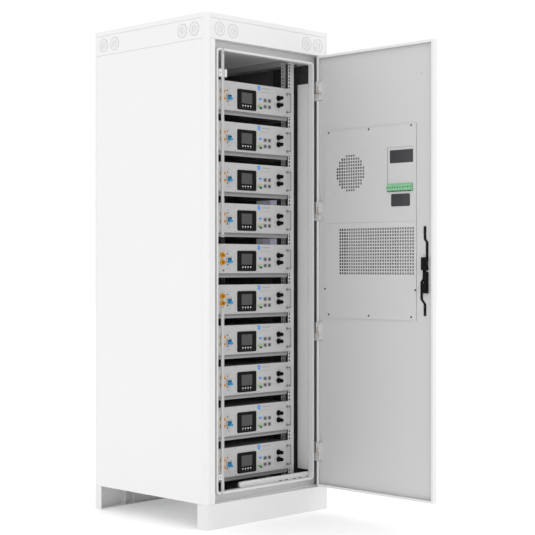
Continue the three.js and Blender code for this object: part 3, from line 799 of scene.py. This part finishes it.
def battery_case():
    """The front panel with the breaker's frame and well."""
    well_x0, well_x1 = BREAKER["well"]
    xs = [PANEL[0], well_x0, well_x1, PANEL[1]]
    zs = [-PANEL_HEIGHT, -81.5, -60.5, 0]

    def in_well(x, z):
        return well_x0 < x < well_x1 and zs[1] < z < zs[2]

    panel = soften(pierced(xs, zs, in_well, (FACE, FACE + 3)), 0.6)
    breaker = cut_plate(rounded(BREAKER["x"], BREAKER["z"], 1.2),
                        [rounded(BREAKER["well"], (-81.2, -60.8), 0.6)], out_to(6), 0.5)
    return [panel, breaker, breaker_well()]


def battery_tube():
    """The case behind the panel, with a lid on top and a slotted rear wall."""
    (x0, x1), (z0, z1) = CASE["x"], CASE["z"]
    wall, rear = CASE["wall"], CASE["rear"]
    outer = [(x0, z0), (x1, z0), (x1, z1), (x0, z1)]
    inner = [(x0 + wall, z0 + wall), (x1 - wall, z0 + wall), (x1 - wall, z1 - wall), (x0 + wall, z1 - wall)]
    tube = cut_plate(outer, [inner], (FACE + 3, rear - wall), 0.8)
    columns, rows = CASE_SLOTS["x"], CASE_SLOTS["z"]
    row_height = columns.centres(1)[0]

    def in_slot(x, z):
        in_row = rows[0] < z < rows[1] or rows[2] < z < rows[3]
        return in_row and columns.at(x, row_height) is not None

    xs = sorted([x0 + 0.5, x1 - 0.5, *columns.lines(0)])
    back = soften(pierced(xs, [z0 + 0.5, *rows, z1 - 0.5], in_slot, (rear - wall, rear)), 0.3)
    lid = block((x0 + 4, x1 - 4), (FACE + 8, rear - 4), (z1 - 0.2, z1 + 0.9), 0.4)
    return [tube, back, lid]


def battery_lip():
    # The lip's dark paint is painted shade under the panel.
    return [block(*LIP, (-PANEL_HEIGHT - TRAY_LIP, -PANEL_HEIGHT + 3), 0.7)]


def proud(profile):
    """Turns (radius, reach in front of the panel) into (radius, y)."""
    return [(radius, FACE - reach) for radius, reach in profile]


def battery_grips():
    """A round bow handle on two bases."""
    high, low = GRIP_ENDS
    bend = [(0, high), (20, high), (22.5, high - 1), (23.5, high - 3.5),
            (23.5, low + 3.5), (22.5, low + 1), (20, low), (0, low)]
    bow = swept([(GRIP_X, FACE - reach, z) for reach, z in bend], 2.4)
    return [bow, *[peg((GRIP_X, z), 6.6, out_to(1.6), edge=0.5) for z in GRIP_ENDS]]


def battery_bezel():
    """The display's bezel, the socket mouths and other small black parts."""
    bezel = cut_plate(rounded(*SCREEN_FRAME, 7), [rounded(*SCREEN, 2)], out_to(3), 0.9)
    (x0, x1), (z0, z1) = SCREEN
    parts = [bezel, block((x0 - 1, x1 + 1), out_to(1, 0.2), (z0 - 1, z1 + 1))]
    parts += [block((x - 4.6, x + 2.6), out_to(1.6, 0.2), (z - 3.4, z + 3.8)) for x, z in SOCKETS]
    parts.append(block(PLUG_BASE[0], out_to(5), PLUG_BASE[1]))
    return parts + [screw(x, z, FACE, 2.8) for x, z in BREAKER_SCREWS]


def battery_inputs():
    """The two black connectors: a stepped collar and a plug with a grip ring."""
    collar = proud([(0, 0), (12.5, 0), (12.5, 3), (11.8, 4), (11, 4.2), (10.7, 7.2), (10, 8), (0, 8)])
    plug = proud([(0, 7), (9, 8), (8.8, 14), (8.1, 14.6), (8.5, 16), (8.5, 23), (7.6, 26.4), (6.6, 27),
                  (0, 27)])
    return [turned(profile, (INPUT_X, z), 36) for z in PORT_ROWS for profile in (collar, plug)]


def battery_screws():
    ears = [screw(x, z, FACE, 3.6) for x, z in EAR_SCREWS]
    case = [screw(x, z, FACE, 1.8, height=0.9) for x, z in CASE_SCREWS]
    return [*ears, screw(*GROUND_SCREW, FACE, 3.4, height=4), *case]


def battery_sockets():
    """The shells of the four network sockets."""
    return [cut_plate(rounded((x - 8.6, x + 8.6), (z - 7.8, z + 7.8), 0.8),
                      [rounded((x - 4.7, x + 2.7), (z - 3.5, z + 3.9), 0.4)], out_to(2.6), 0.3)
            for x, z in SOCKETS]


def breaker_well():
    """The half-round hollow behind the lever, closed at both sides."""
    (x0, x1), (pivot_y, pivot_z) = BREAKER["well"], BREAKER["pivot"]
    curve = arc(pivot_y, pivot_z, WELL_RADIUS, -132, 132, 16)
    bm = bmesh.new()
    sides = [[bm.verts.new((x, y, z)) for y, z in curve] for x in (x0, x1)]
    for i in range(len(curve) - 1):
        bm.faces.new((sides[0][i], sides[1][i], sides[1][i + 1], sides[0][i + 1]))
    bm.faces.new(sides[0])
    bm.faces.new(reversed(sides[1]))
    return bm


def battery_orange():
    """The collars of the two output connectors."""
    ring = proud([(0, 0), (13, 0), (13, 3), (12.3, 4), (11.5, 4.2), (11.2, 7.2), (10.5, 8), (8, 8),
                  (7.6, 6.5), (0, 6.5)])
    return [turned(ring, (OUTPUT_X, z), 36) for z in PORT_ROWS]


def battery_cores():
    """The stepped plugs inside the output connectors."""
    core = proud([(0, 6), (6.4, 6.2), (6.4, 11), (5.8, 11.6), (6, 12.6), (6, 16.6), (5.2, 18), (0, 18)])
    return [turned(core, (OUTPUT_X, z), 24) for z in PORT_ROWS]


def battery_keys():
    return [block((x - 3.2, x + 3.2), out_to(4.6, 2), KEY_ROW, 1.0, 3) for x in KEYS]


def battery_blue():
    """A plain round badge and a blue port."""
    badge = prism(circle(*BADGE, 9.8, 32), out_to(0.8, -0.2), edge=0.3)
    return [badge, block(BLUE_PORT[0], out_to(2.6), BLUE_PORT[1], 0.6)]


def battery_badge_centre():
    return [peg(BADGE, 3.4, out_to(1.2, 0.4), 24, 0.1)]


def battery_labels():
    """Plain strips where the panel has text."""
    marks = [((254 + 3 * (i % 2), 263), (z, z + 2)) for i, z in enumerate(SCALE_MARKS)]
    ring = cut_plate(circle(*RING_MARK, 5), [circle(*RING_MARK, 3)], out_to(0.5, -0.2), 0.1)
    return [block(x, out_to(0.25, -0.2), z, 0.1, 1) for x, z in LABELS + marks] + [ring]


def battery_marks():
    return [block((x - 1.8, x + 1.8), out_to(3.25, 2.8), KEY_MARK_ROW, 0.1, 1) for x in KEYS]


def battery_green():
    """A green terminal plug with four screws."""
    plug = block(GREEN_PLUG[0], out_to(6.5), GREEN_PLUG[1], 0.6)
    return [plug, *[peg(centre, 1.5, out_to(7.2, 6), 12, 0.2) for centre in PLUG_SCREWS]]


def breaker_lever():
    """A hub with a flat, ridged lever, drawn level and then tilted down."""
    y, z = BREAKER["pivot"]
    width = (-10.5, 10.5)
    hub = moved(peg((0, 0), 6, width, 24, 0.6), Matrix.Rotation(math.pi / 2, 4, "Z"))
    above = [(0, 4.5), (-14, 4.4), (-22, 3.6), (-23, 2.6)]
    tip = prism([(0, -4.5), *above, *[(y, -z) for y, z in reversed(above[1:])]], width, "x", 0.5)
    ridges = [block((-9.5, 9.5), (-20.5 + 3 * i, -19.3 + 3 * i), (3.2, 4.8), 0.3) for i in range(3)]
    place = Matrix.Translation((sum(BREAKER["well"]) / 2, y, z))
    tilt = Matrix.Rotation(math.radians(BREAKER["tilt"]), 4, "X")
    return [moved(bm, place @ tilt) for bm in (hub, tip, *ridges)]


def battery_screen():
    return [block(SCREEN[0], out_to(1.6, 0.9), SCREEN[1], 0.2, 1)]


def battery_run_lamp():
    return [peg(RUN_LAMP, 2.2, out_to(1.4), 16)]


def battery_alarm_lamps():
    return [peg(centre, 2.3, out_to(1.4), 16) for centre in ALARM_LAMPS]


# Each part of a battery: its look and the function that draws it.
BATTERY_PARTS = {
    "case": ("battery_paint", battery_case),
    # The tube's dark paint is painted shade in the gaps between the batteries.
    "tube": ("case_shade_paint", battery_tube),
    # The lip's dark paint is painted shade under the panel.
    "lip": ("lip_shade_paint", battery_lip),
    "grips": ("grip_steel", battery_grips),
    "bezel": ("black_plastic", battery_bezel),
    "inputs": ("connector_black_and_shade", battery_inputs),
    "screws": ("screw_steel", battery_screws),
    "sockets": ("socket_grey", battery_sockets),
    "outputs": ("orange_plastic", battery_orange),
    "cores": ("dark_orange_plastic", battery_cores),
    "keys": ("white_plastic", battery_keys),
    "marks": ("grey_plastic", battery_marks),
    "blue": ("badge_blue", battery_blue),
    "badge_centre": ("battery_paint", battery_badge_centre),
    "labels": ("label_grey_and_shade", battery_labels),
    "plug": ("green_plastic", battery_green),
    "screen": ("screen", battery_screen),
    "run_lamp": ("led", battery_run_lamp),
    "alarm_lamp": ("orange_plastic", battery_alarm_lamps),
}


def add_batteries():
    """Ten batteries that share one mesh for each part."""
    shared = {part: (look, joined("battery_" + part, make(), CABINET))
              for part, (look, make) in BATTERY_PARTS.items()}
    lever = joined("breaker_lever", breaker_lever(), CABINET)
    for index in range(MODULES):
        number = f"{index + 1:02d}"
        lift = (TOP_MODULE - index * MODULE_PITCH) * MM
        for part, (look, mesh) in shared.items():
            made = show(f"battery_{number}_{part}", mesh, look, f"battery_body_{number}", lift)
            if part == "case":
                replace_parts(made, f"battery_{number}")
        name = f"breaker_lever_{number}"
        made = show(name + "_fine", lever, "blue_plastic", f"breaker_body_{number}", lift)
        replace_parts(made, name)


# ---- door, drawn closed: its inner side faces the rear ----
COVER = {"left": 150, "right": 678, "bottom": 878, "top": 1722, "split": 1304.5, "face": 14.3, "sheet": 1.5}
COVER_SCREWS = [(x, z) for x in (177, 415, 653) for z in (893, 1715)] + [(675, 1009), (154, 1009)]
RETURN_AIR = Holes((523, 1527), (12, 12), 13.9, 9.2)
RETURN_RADIUS = 81
OUTLET = Holes((374.5, 1177), (31, 15), 13.9, 9.2)
RETURN_BACK = (1443, 1611)
OUTLET_BACK = (1066, 1288)
BEHIND_GRILLES = (8.6, 9.6)
WINDOW = ((166, 309), (1434, 1628))
TERMINALS = {"x": (169, 307), "count": 10, "z": 1452, "mouth": (1434, 1437.4)}
HINGE_BOTTOMS = [224.5 + 547.5 * i for i in range(4)]
ARM_FLAT = (11, 14)
UPPER_ARM = {"bends": [(104, 1281), (104, 1227), (92.5, 1212), (92.5, 1132)],
             "holes": [(104, 1274), (104, 1246)]}
LOWER_ARM = {"bends": [(110, 1114), (110, 1058), (121.5, 1044), (121.5, 970), (104, 950), (104, 900)],
             "holes": [(104, 938), (104, 908)]}
LOUVRES = {"upper": (1400, 1640), "lower": (960, 1270)}
LOUVRE_SIDES = (254, 614)
SLAT_PITCH = 15
SLAT_SLOPE = -38
HANDLE = {"x": 105, "pivot": 1118, "key": 1138}
GRILLE_SCREWS = [(x, z) for x in (434, 614) for z in (1439, 1617)]
LOCK_KNOB = (101, 1120)
LOCK_SCREWS = [(96, 1140), (96, 1006)]
STUD = (123, 1934)


def door_piece(name, parts, look, stands_for=(), body="door"):
    piece(name, parts, look, body, DOOR, stands_for)


def add_door():
    refined("door_pan", "door_shaded_paint", "door", edge=0.9)
    refined("door_liner", "grey_paint", "door", edge=0.3)
    add_cover()
    add_window()
    add_hinges()
    add_lock()
    add_outside_unit()
    door_piece("door_stud", [screw(*STUD, 10, 5, 1, 2)], "rack_paint")


def folded_rim(z0, z1):
    """The edges of a cover, folded down to the liner."""
    x0, x1 = COVER["left"], COVER["right"]
    y, sheet = (10.3, COVER["face"] - 0.4), COVER["sheet"]
    sides = [block(x, y, (z0, z1), 0.3) for x in ((x0, x0 + sheet), (x1 - sheet, x1))]
    ends = [block((x0, x1), y, z, 0.3) for z in ((z0, z0 + sheet), (z1 - sheet, z1))]
    return sides + ends


def cover_sheet(holes, z_range, more_x, more_z, is_open):
    xs = sorted([COVER["left"], COVER["right"], *more_x, *holes.lines(0)])
    zs = sorted([*z_range, *more_z, *holes.lines(1)])
    return pierced(xs, zs, is_open, (COVER["face"] - COVER["sheet"], COVER["face"]))


def upper_open(x, z):
    """The window, and the return air's holes that lie in a circle."""
    (x0, x1), (z0, z1) = WINDOW
    if x0 < x < x1 and z0 < z < z1:
        return True
    hole = RETURN_AIR.at(x, z)
    return bool(hole) and math.dist(hole, RETURN_AIR.middle) < RETURN_RADIUS


def lower_open(x, z):
    return OUTLET.at(x, z) is not None


def add_cover():
    """Two covers that meet at a seam, with their screws and filters."""
    split = COVER["split"]
    halves = {"upper": (RETURN_AIR, (split + 0.3, COVER["top"]), *WINDOW, upper_open),
              "lower": (OUTLET, (COVER["bottom"], split - 0.3), [], [], lower_open)}
    for half, drawn in halves.items():
        name = f"cooler_cover_{half}"
        door_piece(name + "_fine", [cover_sheet(*drawn), *folded_rim(*drawn[1])], "grey_paint", [name])
    add_filters()
    seam = block((152, 676), (12.9, 13.9), (split - 0.9, split + 0.9))
    door_piece("cover_seam", [seam], "foam")
    heads = [screw(x, z, COVER["face"], 4.2, 1) for x, z in COVER_SCREWS]
    door_piece("cover_screws", heads, "black_plastic")
    small = [screw(x, z, COVER["face"], 2, 1, 1) for x, z in GRILLE_SCREWS]
    door_piece("grille_screws", small, "grey_plastic")


def add_filters():
    """Filter mats behind the grilles, each with a block of painted shade along the hinge side."""
    y = BEHIND_GRILLES
    mats = [block((440, 563), y, RETURN_BACK), block((250, 545), y, OUTLET_BACK),
            block((156, 249.5), (10.5, 11.3), OUTLET_BACK)]
    door_piece("grille_filters", mats, "filter_grey")
    # Painted shade: black blocks behind the hinge-side holes, where the view falls into the dark.
    shades = [block((563.3, 607), y, RETURN_BACK), block((545.3, 600), y, OUTLET_BACK)]
    door_piece("grille_shades", shades, "connector_black_and_shade")


def add_window():
    """The controller's window: a grey tray with a dark display."""
    (x0, x1), (z0, z1) = WINDOW
    face = COVER["face"]
    tray = block((x0 - 4, x1 + 4), (10.8, 11.6), (z0 - 4, z1 + 4))
    outline = rounded((x0 - 2, x1 + 2), (z0 - 2, z1 + 2), 2)
    walls = cut_plate(outline, [rounded(*WINDOW, 1)], (11.4, face - 0.2), 0.2)
    plate = block((x0, 292), (11.5, 12.6), (1469, 1557), 0.4)
    door_piece("window_tray", [tray, plate], "grey_paint")
    # The walls round the window are darker than the cover: painted shade in the window's recess.
    door_piece("window_frame_shade", [walls], "label_grey_and_shade")
    display = prism(rounded((x0, 296), (1558, 1614), 1.5), (11.5, 13.2), edge=0.5)
    panel = prism(rounded((183, 287), (1370, 1424), 6), (face - 0.2, face + 1.6), edge=0.7)
    door_piece("window_displays", [display, panel], "dark_screen")
    add_terminals()


def add_terminals():
    """The green strip, with a screw well and a wire mouth for each wire."""
    x0, x1 = TERMINALS["x"]
    outline = [(12, 1437), (12, 1467), (19, 1467), (23, 1460), (23, 1444), (20, 1437)]
    door_piece("terminal_strip", [prism(outline, (x0, x1), "x", 0.5)], "pale_green")
    pitch = (x1 - x0) / TERMINALS["count"]
    centres = [x0 + pitch * (i + 0.5) for i in range(TERMINALS["count"])]
    # The black wells and mouths are painted shade inside the strip's screw wells and wire mouths.
    wells = [peg((x, TERMINALS["z"]), 2.9, (22.6, 23.3), 16, 0.2) for x in centres]
    mouths = [block((x - 4, x + 4), (19, 22), TERMINALS["mouth"], 0.3) for x in centres]
    door_piece("terminal_hole_shades", wells + mouths, "black_plastic")


def add_hinges():
    for number, z in enumerate(HINGE_BOTTOMS, 1):
        refined(f"hinge_leaf_{number}", "hinge_paint", "door", edge=1.2, segments=3)
        tab = prism(rounded((688, 715), (z + 77, z + 84), 2), (25.2, 32.4), edge=0.7)
        door_piece(f"hinge_tab_{number}", [tab], "hinge_paint")
        strip = prism(rounded((703.5, 710.5), (z + 36, z + 62), 1), (30.8, 31.8), edge=0.3)
        door_piece(f"hinge_strip_{number}", [strip], "brass_pin")
        heads = [screw(699.8, z + rise, 30.9, 2.0, 1, 0.25) for rise in (41, 60)]
        door_piece(f"hinge_screws_{number}", heads, "screw_steel")
        knuckle = [block((697.4, 713), (-3.3, 31), (z + 0.5, z + 33.6), 1.2, 3),
                   prism(rounded((-3.3, 24), (z + 1, z + 8), 2), (689, 699), "x", 0.7)]
        piece(f"hinge_knuckle_{number}", knuckle, "hinge_paint")
        lower = prism(rounded((-1.5, 5.5), (z + 23, z + 33), 1), (696.8, 698), "x", 0.2)
        piece(f"hinge_lower_strip_{number}", [lower], "brass_pin")


def flat_arm(arm, half=6):
    """A flat bar that follows its bends, with round holes."""
    left = [(x - half, z) for x, z in arm["bends"]]
    right = [(x + half, z) for x, z in reversed(arm["bends"])]
    return cut_plate(left + right, [circle(x, z, 2.4, 16) for x, z in arm["holes"]], ARM_FLAT, 0.5)


def add_lock():
    refined("lock_case", "black_metal", "door", edge=1.2, segments=3)
    for arm, node, body in ((UPPER_ARM, "lock_arm_upper", "lock_arm_up"),
                            (LOWER_ARM, "lock_arm_lower", "lock_arm_down")):
        door_piece(node + "_fine", [flat_arm(arm)], "black_metal", [node], body)
    knob = peg(LOCK_KNOB, 7, (26.8, 31), 28, 1.0)
    door_piece("lock_knob", [knob, *[screw(x, z, 27, 2.6, 1) for x, z in LOCK_SCREWS]], "black_plastic")


def add_outside_unit():
    """The cooling unit's housing, louvres and fans, and the swing handle."""
    refined("cooler_housing", "white_paint", "door", edge=3.0, segments=4)
    refined("evaporator_fan", "black_plastic", "fan_inner", edge=0.5)
    refined("condenser_fan", "black_plastic", "fan_outer", edge=0.5)
    x0, x1 = LOUVRE_SIDES
    for name, z in LOUVRES.items():
        # The black back plate is painted shade behind the slats.
        back = block((x0 + 8, x1 - 8), (-110.6, -109.5), (z[0] + 4, z[1] - 4))
        door_piece(f"louvre_{name}_back", [back], "black_plastic")
        door_piece(f"louvre_{name}", louvre(LOUVRE_SIDES, z), "white_paint")
    refined("handle_base", "black_metal", "door", edge=1.2, segments=3)
    door_piece("swing_handle_fine", handle(), "black_metal", ["swing_handle"], "handle")
    x, z = HANDLE["x"], HANDLE["key"]
    door_piece("key_cylinder", [peg((x, z), 7, (-7.6, -6), 32, 0.4)], "zinc_steel")
    # The black slot is painted shade in the key cylinder's keyway.
    slot = block((x - 0.8, x + 0.8), (-7.9, -7.4), (z - 4.5, z + 4.5), 0.2, 1)
    door_piece("key_slot_shade", [slot], "black_plastic")


def louvre(x, z):
    """A frame with slanted slats, on the outer face."""
    inside = rounded((x[0] + 8, x[1] - 8), (z[0] + 8, z[1] - 8), 4)
    ring = cut_plate(rounded(x, z, 10), [inside], (-114, -109.8), 0.8)
    slope = Matrix.Rotation(math.radians(SLAT_SLOPE), 4, "X")
    slats = []
    for i in range(int((z[1] - z[0] - 20) / SLAT_PITCH)):
        slat = block((x[0] + 6, x[1] - 6), (-0.7, 0.7), (-8.5, 8.5), 0.4)
        slats.append(moved(slat, Matrix.Translation((0, -114, z[0] + 17 + i * SLAT_PITCH)) @ slope))
    return [ring, *slats]


def handle():
    """A round boss on the spindle, with a lever that hangs from it."""
    x, z = HANDLE["x"], HANDLE["pivot"]
    boss = turned([(0, -6.4), (15, -6.4), (15, -22), (13, -26), (0, -26.6)], (x, z), 40)
    grip = prism(rounded((x - 10, x + 10), (z - 110, z + 15), 9, 8), (-30, -20), edge=2.6, segments=4)
    return [boss, grip]


# ---- stage and light ----
FLOOR_REACH = 30


def add_stage():
    """A pale, nearly white floor."""
    r = FLOOR_REACH
    mesh = bpy.data.meshes.new("floor")
    mesh.from_pydata([(-r, -r, 0), (r, -r, 0), (r, r, 0), (-r, r, 0)], [], [(0, 1, 2, 3)])
    floor = added("floor", mesh)
    finish = Finish("pale floor", grey(0.93), 0.9).tint(2, 0.01).glow(0.25)
    mesh.materials.append(finish.material)


def add_light(name, location, aim, size, power):
    light = added(name, bpy.data.lights.new(name, "AREA"))
    light.data.shape = "RECTANGLE"
    light.data.size, light.data.size_y = size
    light.data.energy = power
    light.location = location
    light.rotation_euler = (Vector(aim) - Vector(location)).to_track_quat("-Z", "Y").to_euler()


def add_lights():
    """An even white studio with one soft light from the front left."""
    world = bpy.data.worlds.new("studio")
    bpy.context.scene.world = world
    world.use_nodes = True
    background = world.node_tree.nodes["Background"]
    put(background, "Color", (1, 1, 1, 1))
    put(background, "Strength", 1.0)
    add_light("soft key", location=(-2.5, -5.0, 3.0), aim=(0, 0, 1.1), size=(3, 3), power=6)
    bpy.context.scene.view_settings.view_transform = "Standard"


FINISHES = {**paints(), **metals(), **plastics(), **foams()}
MATERIALS = {name: finish.material for name, finish in FINISHES.items()}
add_camera()
add_shell()
add_front_frame()
add_rods()
add_rack()
add_inside()
add_batteries()
add_door()
add_stage()
add_lights()
